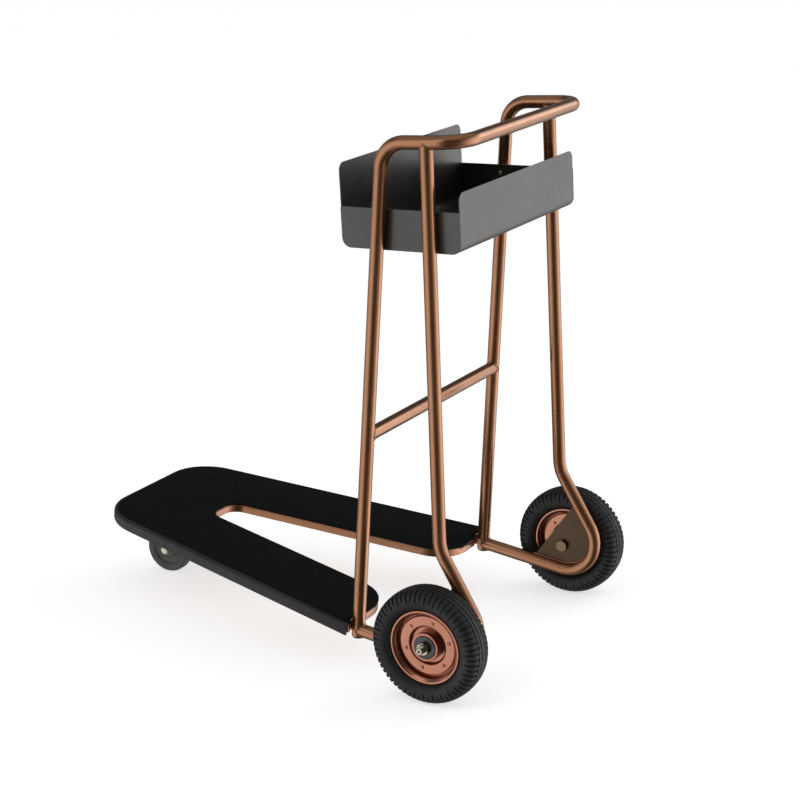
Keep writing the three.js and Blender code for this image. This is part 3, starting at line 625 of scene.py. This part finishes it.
# ---- deck -------------------------------------------------------------------------------------------
def deck_outline(outer, inner):
    """The deck's outline in its own sloping plane, its outer and inner edges moved inwards."""
    slant = math.hypot(1, SIDE_TAPER)
    nose = NOSE_X - outer
    taper = SLOT_REAR_HALF / (SLOT_APEX_X - DECK_REAR_X)
    shift = inner * math.hypot(1, taper)
    rear, notch, end = DECK_REAR_X + inner, NOTCH_X + inner, SLOT_END_X + inner
    notch_inner, notch_outer = NOTCH_INNER_Y - inner, NOTCH_OUTER_Y + inner

    def side_y(x):
        return NOSE_HALF + SIDE_TAPER * (NOSE_X - x) - outer * slant

    def slot_y(x):
        return taper * (SLOT_APEX_X - x) + shift

    half = [(nose, side_y(nose), 97 - outer), (rear, side_y(rear), 3.4), (rear, notch_outer, 3),
            (notch, notch_outer, 3), (notch, notch_inner, 4), (rear, notch_inner, 4),
            (rear, slot_y(rear), 78 - inner), (end, slot_y(end), 32 + inner)]
    return rounded(half + [(x, -y, r) for x, y, r in half[::-1]], 4)


def on_slope(shape):
    points = np.asarray(shape[0], float)
    c, s = math.cos(DECK_TILT), math.sin(DECK_TILT)
    x, z = points[:, 0], points[:, 2]
    return np.column_stack([c * x - s * z, points[:, 1], s * x + c * z + DECK_Z0]), shape[1]


def make_deck():
    mat = slab(deck_outline(MAT_INSET, 0), 0, -MAT_T, 1.2, 0.6)
    build("mat_sheet", on_slope(mat), MAT, "frame", ["deck_mat"], sharp=50)
    under = -MAT_T - 0.3
    tray = slab(deck_outline(MAT_INSET, 0.6), under, under - TRAY_DEPTH, 2.0, 0.6, (2, 2))
    build("tray_pan", on_slope(tray), BRONZE, "frame", ["deck_tray"], sharp=50)
    build("bumper_strip", on_slope(bumper_strip(-0.8)), BUMPER, "frame", ["bumper"])


def bumper_strip(top):
    """A D-shaped rubber strip round the nose and both sides of the deck."""
    slant = math.hypot(1, SIDE_TAPER)

    def corner(x, side, radius):
        y = NOSE_HALF + SIDE_TAPER * (NOSE_X - x) - BUMPER_INSET * slant
        return (x, side * y, radius)

    nose = NOSE_X - BUMPER_INSET
    corners = [corner(BUMPER_END_X, 1, 0), corner(nose, 1, 90), corner(nose, -1, 90),
               corner(BUMPER_END_X, -1, 0)]
    outline = rounded(corners, 3, closed=False)
    ahead = np.gradient(outline, axis=0)
    ahead /= np.linalg.norm(ahead, axis=1)[:, None]
    outward = np.stack([-ahead[:, 1], ahead[:, 0]], -1)
    outward *= np.sign(np.sum(outward * (outline - (500, 0)), axis=1))[:, None]
    section = rounded([(0, 0, 0.4), (8, 0, 6.8), (8, -25.2, 7), (0, -25.2, 0.4)], 9)
    rings = []
    for point, out in zip(outline, outward):
        rings.append(np.column_stack([point + np.outer(section[:, 0], out), top + section[:, 1]]))
    for end, step in ((0, -1), (len(rings) - 1, 1)):
        ring = rings[end]
        centre = ring.mean(0)
        cap = centre + (ring - centre) * 0.9 + np.append(ahead[end] * step * 0.8, 0)
        rings = [cap, *rings] if end == 0 else [*rings, cap]
    return skinned(rings)


# ---- basket -----------------------------------------------------------------------------------------
def in_basket(shape):
    points = np.asarray(shape[0], float)
    c, s = math.cos(BASKET_TILT), math.sin(BASKET_TILT)
    x, z = points[:, 0], points[:, 2]
    return np.column_stack([c * x + s * z + BASKET_X, points[:, 1], -s * x + c * z + BASKET_Z]), shape[1]


def make_basket():
    half, bend, sheet = BASKET_DEPTH / 2, 18, BASKET_SHEET
    wide = BASKET_HALF - sheet - 0.3
    rear, front, corner = 108, 151, 15
    ys = np.concatenate([-wide + corner * (1 - np.cos(np.linspace(0, math.pi / 2, 9))),
                         np.linspace(-wide + corner, wide - corner, 12)[1:-1],
                         wide - corner * (1 - np.cos(np.linspace(math.pi / 2, 0, 9)))])
    rows = []
    for y in ys:
        past = max(0.0, abs(y) - (wide - corner))
        drop = corner - math.sqrt(max(0.0, corner ** 2 - past ** 2))
        outside, inside = (
            rounded([(-half + t, rear - drop, 0), (-half + t, t, bend - t), (half - t, t, bend - t),
                     (half - t, front - drop, 0)], 6, closed=False) for t in (0, sheet))
        line = np.concatenate([outside, inside[::-1]])
        rows.append(np.column_stack([line[:, 0], np.full(len(line), y), line[:, 1]]))
    count = len(rows[0])
    points = np.concatenate(rows)
    faces = grid_faces(len(rows), count, False, True)
    for first in (0, (len(rows) - 1) * count):
        faces += [[first + k, first + k + 1, first + count - 2 - k, first + count - 1 - k]
                  for k in range(count // 2 - 1)]
    shell = in_basket((points, oriented_by_mesh(points, faces)))
    build("basket_sheet", shell, SHEET, "frame", ["basket_shell"], sharp=40,
          bevel=0.45)

    outline = rounded([(-half, 74, 2.5), (-half, 0, bend), (half, 0, bend), (half, 74, 2.5)], 6)
    for word, side in (("left", 1), ("right", -1)):
        inner = BASKET_HALF - sheet
        end = in_basket(plate_y(outline, side * inner, side * BASKET_HALF))
        build(f"basket_side_{word}", end, SHEET, "frame", [f"basket_end_{word}"],
              bevel=0.45)
        for place, x in (("front", front_x(BASKET_SCREW_Z)), ("rear", rear_x(BASKET_SCREW_Z))):
            head = rounded([(1.4, inner - 1.6, 0), (1.4, inner - 2.9, 0.2), (3.4, inner - 2.9, 1.2),
                            (4.75, inner - 1.6, 1.2), (4.75, inner - 0.3, 0.2), (0.01, inner - 0.3, 0),
                            (0.01, inner - 1.6, 0)], 12)
            shank = [(2.5, inner - 1), (2.5, inner + 10), (0.01, inner + 10), (0.01, inner - 1)]
            screw = joined(lathe(head, 40), lathe(shank, 24))
            screw = shifted(screw, (x, 0, BASKET_SCREW_Z))
            build(f"basket_button_{place}_{word}", screw if side > 0 else flipped(screw), ZINC,
                  "frame", [f"basket_screw_{place}_{word}"])


def oriented_by_mesh(points, faces):
    """Faces turned outwards by Blender's own recalculation."""
    mesh = bpy.data.meshes.new("scratch")
    mesh.from_pydata(np.asarray(points).tolist(), [], faces)
    work = bmesh.new()
    work.from_mesh(mesh)
    bmesh.ops.recalc_face_normals(work, faces=work.faces)
    done = [[v.index for v in face.verts] for face in work.faces]
    work.free()
    bpy.data.meshes.remove(mesh)
    return done


# ---- rear wheels ------------------------------------------------------------------------------------
def tyre_shape():
    """The tyre's skin: smooth walls, shoulder lugs in turn long and short, and grooves round the tread."""
    wall = np.array([(63.6, 18.2), (67.5, 18.4), (71.3, 18.7), (72.6, 21.6), (75.2, 26), (79.5, 29.4),
                     (85, 31.3), (91, 32), (96.5, 31.3), (101.5, 28.8), (105.2, 24.8), (107.4, 20.6),
                     (108.4, 17.6)])
    fine = []
    for i in range(len(wall) - 1):
        p0, p1, p2, p3 = (wall[np.clip(k, 0, len(wall) - 1)] for k in (i - 1, i, i + 1, i + 2))
        for t in np.arange(3) / 3:
            fine.append(0.5 * (2 * p1 + (p2 - p0) * t + (2 * p0 - 5 * p1 + 4 * p2 - p3) * t ** 2
                               + (3 * p1 - p0 - 3 * p2 + p3) * t ** 3))
    tread = [17.6, 16.4, 15.9, 14.1, 13.6, 10, 7.2, 6.7, 4.9, 4.4, 2.2, 0]
    fine += [np.array((WHEEL_R - 0.0052 * y * y, y)) for y in tread]
    profile = np.array(fine + [p * (1, -1) for p in fine[-2::-1]])
    ahead = np.gradient(profile, axis=0)
    ahead /= np.linalg.norm(ahead, axis=1)[:, None]
    outward = np.stack([-ahead[:, 1], ahead[:, 0]], -1)
    outward *= np.sign(outward[len(profile) // 2, 0])

    phases = np.array([0, 0.07, 0.33, 0.4, 0.6, 0.8])
    angle = np.concatenate([(i + phases) / LUGS * 2 * math.pi for i in range(LUGS)])
    in_groove = np.tile([0, 1, 1, 0, 0, 0], LUGS)
    lug = np.repeat(np.arange(LUGS), len(phases))
    radius, across = profile.T
    rows = []
    for a, groove, i in zip(angle, in_groove, lug):
        foot = 86.5 if i % 2 == 0 else 92
        rise = np.clip((radius - foot) / 7, 0, 1)
        open_side = np.clip((np.abs(across) - 13) / 1.2, 0, 1)
        depth = groove * (1.0 + 1.7 * rise) * np.clip((radius - foot) / 0.8, 0, 1) * open_side
        outer_ring = np.abs(np.abs(across) - 15.1) < 1.2
        inner_ring = np.abs(np.abs(across) - 5.9) < 1.2
        depth = np.maximum(depth, np.where(outer_ring | inner_ring, 2.4, 0))
        r = radius - outward[:, 0] * depth
        y = across - outward[:, 1] * depth
        rows.append(np.stack([np.cos(a) * r, y, np.sin(a) * r], -1))
    points = np.array(rows).reshape(-1, 3)
    return points, oriented(points, grid_faces(len(rows), len(profile), True, True))


def rim_shape(side):
    """Half of a pressed rim: rolled flange, deep channel, flat ring, well and collar."""
    face = [(68.6, 19.6, 0.3), (70.5, 19.8, 0.4), (70.5, 22, 1.1), (66.8, 22, 1.6), (61.6, 17.2, 3.2),
            (60.4, 3.6, 1.8), (57.6, 3.4, 1.2), (56.4, 10.4, 1.8), (37.4, 10.4, 2.6), (34.6, 3, 1.8),
            (27.8, 3, 0.2), (27.8, 0.4, 0.2), (36.2, 0.4, 1), (39, 8, 1), (54.6, 8, 1), (56, 0.4, 1),
            (61.9, 0.4, 1), (63, 17, 1.5)]
    return lathe([(r, side * y) for r, y in rounded(face, 14)], 128)


def rivets(side):
    """The domed rivet heads on a rim's flat ring."""
    dome = lathe(rounded([(0.01, 10, 0), (3.4, 10, 0), (3.3, 11, 0.5), (1.9, 12.4, 1.1), (0.01, 12.4, 0)],
                         15), 24)
    dome = dome if side > 0 else flipped(dome)
    angles = [math.radians(360 / RIVETS * k + 44) for k in range(RIVETS)]
    return joined(*[shifted(dome, (RIVET_CIRCLE_R * math.cos(a), 0, RIVET_CIRCLE_R * math.sin(a)))
                    for a in angles])


def threaded_end(radius, start, end):
    """The closed profile of a threaded bolt end along Y with a chamfer and a drilled centre."""
    pitch, depth = 1.75, 0.75
    line = [(0.01, start)]
    y = start
    while y < end - 2.4:
        line += [(radius, y + 0.35), (radius, y + 0.75), (radius - depth, y + 1.25),
                 (radius - depth, y + 1.5)]
        y += pitch
    line += [(radius, y + 0.2), (radius, end - 1.2), (radius - 1.1, end), (2.6, end), (2.1, end - 0.8),
             (2.1, end - 4.5), (0.01, end - 5.5)]
    return line


def make_wheel(word, side):
    wheel = f"wheel_{word}"
    place = (0, side * HALF_TRACK, WHEEL_R)

    def lathed(profile, segments=96):
        return lathe([(r, side * y) for r, y in profile], segments)

    build(f"tyre_skin_{word}", tyre_shape(), TYRE, wheel, [f"tyre_{word}"], place, sharp=28)
    outer = joined(rim_shape(side), rivets(side))
    build(f"rim_face_{word}", outer, COPPER, wheel, [f"rim_outer_{word}"], place)
    inner = joined(rim_shape(-side), rivets(-side))
    build(f"rim_back_{word}", inner, COPPER, wheel, [f"rim_inner_{word}"], place)
    barrel = rounded([(17.8, 17.5, 0.3), (21.8, 18.6, 0.5), (22.5, 20.5, 0.6), (27.5, 20.5, 1.8),
                      (27.5, -20.5, 1.8), (22.5, -20.5, 0.6), (21.8, -18.6, 0.5), (17.8, -17.5, 0.3)], 12)
    build(f"hub_barrel_{word}", lathed(barrel), COPPER, wheel, [f"hub_{word}"], place)
    ring = rounded([(7.3, 8.5, 0.4), (17.4, 8.5, 0.6), (17.4, 19.5, 0.6), (15.2, 19.5, 0.3),
                    (14.8, 19, 0.2), (10.6, 19, 0.2), (10.2, 19.5, 0.3), (7.3, 19.5, 0.4)], 15)
    for name, sign in (("outer", 1), ("inner", -1)):
        build(f"bearing_{name}_ring_{word}", lathed([(r, sign * y) for r, y in ring]), DARK_STEEL,
              wheel, [f"bearing_{name}_{word}"], place)

    spacer = rounded([(7.3, -37.2, 0.3), (11, -37.2, 0.8), (11, -19.8, 0.8), (7.3, -19.8, 0.3)], 15)
    build(f"spacer_tube_{word}", lathed(spacer, 64), ZINC, "frame", [f"spacer_{word}"], place)
    washer = rounded([(7.3, 20.8, 0.2), (22, 20.8, 0.5), (22, 22.3, 0.6), (7.3, 22.3, 0.3)], 15)
    build(f"washer_disc_{word}", lathed(washer), DARK_STEEL, "frame",
          [f"axle_washer_{word}"], place)
    nut = hexagon(NUT_ACROSS, side * 22.6, side * 30.4, 7.3)
    build(f"nut_{word}", nut, ZINC, "frame", [f"axle_nut_{word}"], place, sharp=30)
    plate_in = GUSSET_IN_Y - HALF_TRACK - 0.3
    shank = lathed([(0.01, plate_in), (6.9, plate_in), (6.9, 24), (0.01, 24)], 48)
    bolt = joined(lathed(threaded_end(BOLT_R, 23, 42), 64), shank)
    build(f"bolt_end_{word}", bolt, ZINC, "frame", [f"axle_bolt_{word}"], place, sharp=30)
    head = hexagon(NUT_ACROSS, side * plate_in, side * (plate_in - 7), 0, 1.3, both=False)
    build(f"bolt_head_{word}", head, BOLT_HEAD_LIT, "frame", [], place, sharp=30)


# ---- caster -----------------------------------------------------------------------------------------
def make_caster():
    axle = (CASTER_X + TRAIL, 0, CASTER_R)
    tread = rounded([(37.1, -12.6, 0), (43, -12.6, 0.6), (44, -13, 0.8), (47.4, -13, 3),
                     (CASTER_R, -7, 3.5), (CASTER_R, 7, 3.5), (47.4, 13, 3), (44, 13, 0.8),
                     (43, 12.6, 0.6), (37.1, 12.6, 0)], 10)
    build("caster_tyre", lathe(tread, 96), CASTER_GREY, "caster_wheel", ["caster_tread"],
          axle)
    half = [(36.7, 12.2, 0.5), (32.6, 12.2, 0.8), (31.2, 10, 0.8), (18, 9.6, 0.8), (15.6, 12.6, 0.8),
            (9.3, 12.6, 0.3)]
    core = rounded(half + [(r, -y, e) for r, y, e in half[::-1]], 15)
    build("caster_hub", lathe(core, 72), CASTER_GREY, "caster_wheel", ["caster_core"],
          axle)
    bush = rounded([(4.8, -13, 0.2), (9, -13, 0.5), (9, 13, 0.5), (4.8, 13, 0.2)], 20)
    build("caster_bearing", lathe(bush, 48), DARK_STEEL, "caster_wheel", ["caster_bush"],
          axle)

    x = CASTER_X
    top, under = 109, 106
    outline = rounded([(x - 24, top, 4), (x - 22, 94, 20), (x + TRAIL - 16, 37, 13),
                       (x + TRAIL + 14, 37, 13), (x + 27, top, 4)], 6)
    legs = [plate_y(outline, side * 15.5, side * 18.5) for side in (1, -1)]
    crown = rounded([(x - 21, -16.5, 2), (x + 24, -16.5, 2), (x + 24, 16.5, 2), (x - 21, 16.5, 2)], 20)
    crown = slab(crown, top, under, 1.2, 0.3)
    boss = rounded([(6.6, top, 0.2), (22, top, 1), (22, under, 0.5), (6.6, under, 0.2)], 20)
    boss = shifted(about_z(lathe(boss, 64)), (x, 0, 0))
    build("caster_yoke", joined(*legs, crown, boss), DARK_STEEL, "caster_fork",
          ["caster_fork"], bevel=0.5)
    for side, node in ((1, "caster_axle_bolt"), (-1, "caster_axle_nut")):
        flange = rounded([(0.01, 18.8, 0), (9.5, 18.8, 0.4), (9.5, 20.2, 0.6), (7.2, 20.9, 0.5),
                          (0.01, 20.9, 0)], 20)
        shape = joined(hexagon(13, side * 20.5, side * 23.6, 0, 0.9, both=False),
                       lathe([(r, side * y) for r, y in flange], 48))
        if side < 0:
            shank = [(0.01, -26), (3.2, -26), (3.9, -25.3), (3.9, 18), (0.01, 18)]
            shape = joined(shape, lathe(shank, 32))
        build(f"{node}_hex", shape, ZINC, "caster_fork", [node], axle, sharp=30)
    race = rounded([(6.6, 125.5, 0.2), (17, 125.5, 0.6), (20, 122.5, 1.2), (20, 112.5, 1.2),
                    (17, 109.4, 0.6), (6.6, 109.4, 0.2)], 15)
    build("caster_race", shifted(about_z(lathe(race, 72)), (x, 0, 0)), DARK_STEEL,
          "caster_fork", ["caster_ball_race"])


def dress_cad():
    """CAD pieces whose shape is right keep it: they get rounded edges and their paint."""
    paint = {"axle_plate": GUSSET, "deck_rail": BRONZE, "nose_beam": BRONZE, "caster_bracket": BRONZE}
    for name, node in frame["nodes"].items():
        if node.hide_render:
            continue
        chosen = next((value for key, value in paint.items() if name.startswith(key)), ZINC)
        node.data.materials.clear()
        node.data.materials.append(chosen)
        add_bevel(node, 0.5)


# ---- studio -----------------------------------------------------------------------------------------
def make_camera():
    """A view from the cart's left and rear, a little above it. Returns its level and its forward line."""
    heading, pitch, roll = math.radians(59.76), math.radians(17.28), math.radians(-1.01)
    ahead = np.array([math.cos(pitch) * math.cos(heading), -math.cos(pitch) * math.sin(heading),
                      -math.sin(pitch)])
    level = np.array([-math.sin(heading), -math.cos(heading), 0])
    up = np.cross(level, ahead)
    right = math.cos(roll) * level + math.sin(roll) * up
    top = -math.sin(roll) * level + math.cos(roll) * up
    camera = bpy.data.objects.new("camera", bpy.data.cameras.new("camera"))
    turn = Matrix((right, top, -ahead)).transposed().to_4x4()
    camera.matrix_world = Matrix.Translation((-1.69479 + AXLE_X, 3.29659, 1.64378)) @ turn
    camera.data.sensor_width = 36
    camera.data.lens = 93.27
    camera.data.clip_end = 200
    bpy.context.scene.collection.objects.link(camera)
    bpy.context.scene.camera = camera
    return level, ahead


def make_stage(level, ahead):
    """The floor, the sky and two soft lights, whose turn is in degrees from the camera's direction."""
    far = 60
    mesh = bpy.data.meshes.new("floor")
    mesh.from_pydata([(-far, -far, 0), (far, -far, 0), (far, far, 0), (-far, far, 0)], [], [(0, 1, 2, 3)])
    paper = bpy.data.materials.new("paper")
    paper.use_nodes = True
    shader = paper.node_tree.nodes["Principled BSDF"]
    shader.inputs["Base Color"].default_value = (0.9, 0.9, 0.9, 1)
    shader.inputs["Roughness"].default_value = 0.9
    shader.inputs["Specular IOR Level"].default_value = 0.1
    shader.inputs["Emission Color"].default_value = (1, 1, 1, 1)
    shader.inputs["Emission Strength"].default_value = 0.62
    mesh.materials.append(paper)
    floor = bpy.data.objects.new("floor", mesh)
    floor.visible_glossy = False
    bpy.context.scene.collection.objects.link(floor)
    make_sky(level, ahead)

    back = -np.array([ahead[0], ahead[1], 0]) / math.hypot(ahead[0], ahead[1])
    for name, turn, distance, height, width, power in (("key", -40, 2.6, 2.6, 1.8, 10),
                                                       ("rim", 115, 2.4, 1.7, 1.15, 7)):
        a = math.radians(turn)
        direction = back * math.cos(a) + level * math.sin(a)
        lamp = bpy.data.lights.new(name, "AREA")
        lamp.shape = "RECTANGLE"
        lamp.size = lamp.size_y = width
        lamp.energy = power
        light = bpy.data.objects.new(name, lamp)
        place = np.array([direction[0] * distance, direction[1] * distance, height])
        toward = np.array([0, 0, 0.45]) - place
        facing = Vector(toward).to_track_quat("-Z", "Y").to_matrix().to_4x4()
        light.matrix_world = Matrix.Translation(place) @ facing
        bpy.context.scene.collection.objects.link(light)


def make_sky(level, ahead):
    """A studio's soft boxes as a sky: bright to both sides of the camera, dark ahead and behind.

    stops gives the strength by compass direction from the camera's, in degrees. It fades towards the
    ground and the zenith, where a soft ceiling takes over. The camera itself sees plain white.
    """
    world = bpy.data.worlds.new("studio")
    bpy.context.scene.world = world
    world.use_nodes = True
    tree = world.node_tree
    where = tree.nodes.new("ShaderNodeTexCoord").outputs["Generated"]

    def dot(vector):
        node = tree.nodes.new("ShaderNodeVectorMath")
        node.operation = "DOT_PRODUCT"
        tree.links.new(where, node.inputs[0])
        node.inputs[1].default_value = vector
        return node.outputs["Value"]

    def math_node(operation, *values):
        node = tree.nodes.new("ShaderNodeMath")
        node.operation = operation
        for value, socket in zip(values, node.inputs):
            if isinstance(value, (int, float)):
                socket.default_value = value
            else:
                tree.links.new(value, socket)
        return node.outputs["Value"]

    def fade(from_min, from_max, to_min, to_max):
        """A smooth change over the height of the direction, which goes from -1 to 1."""
        node = tree.nodes.new("ShaderNodeMapRange")
        node.interpolation_type = "SMOOTHSTEP"
        node.inputs["From Min"].default_value = from_min
        node.inputs["From Max"].default_value = from_max
        node.inputs["To Min"].default_value = to_min
        node.inputs["To Max"].default_value = to_max
        tree.links.new(dot((0, 0, 1)), node.inputs["Value"])
        return node.outputs["Result"]

    back = (-ahead[0], -ahead[1], 0)
    turn = math_node("ARCTAN2", dot(tuple(level)), dot(back))
    around = math_node("MULTIPLY_ADD", turn, 1 / (2 * math.pi), 0.5)
    ramp = tree.nodes.new("ShaderNodeValToRGB")
    ramp.color_ramp.interpolation = "LINEAR"
    brightest = 2.4
    stops = [(-180, 0.15), (-145, 0.2), (-108, 0.8), (-75, 1.5), (-48, 1.2), (-30, 0.3), (-15, 0.06),
             (25, 0.06), (42, 0.35), (62, 1.1), (85, 2.3), (108, 2.3), (131, 0.75), (160, 0.15)]
    elements = ramp.color_ramp.elements
    while len(elements) < len(stops):
        elements.new(0.5)
    for element, (degrees, value) in zip(elements, stops):
        element.position = degrees / 360 + 0.5
        element.color = (value / brightest, value / brightest, value / brightest, 1)
    tree.links.new(around, ramp.inputs["Fac"])
    side = math_node("MULTIPLY", ramp.outputs["Color"], fade(0.1, 0.7, brightest, 0.3))
    side = math_node("MULTIPLY", side, fade(-0.85, -0.45, 0.3, 1))
    total = math_node("MAXIMUM", side, fade(0.45, 0.9, 0, 0.5))
    seen = tree.nodes.new("ShaderNodeLightPath").outputs["Is Camera Ray"]
    total = math_node("MAXIMUM", total, seen)
    background = tree.nodes["Background"]
    background.inputs["Color"].default_value = (1, 1, 1, 1)
    tree.links.new(total, background.inputs["Strength"])


make_frame()
make_deck()
make_basket()
make_wheel("left", 1)
make_wheel("right", -1)
make_caster()
dress_cad()
make_stage(*make_camera())
bpy.context.scene.view_settings.view_transform = "Standard"
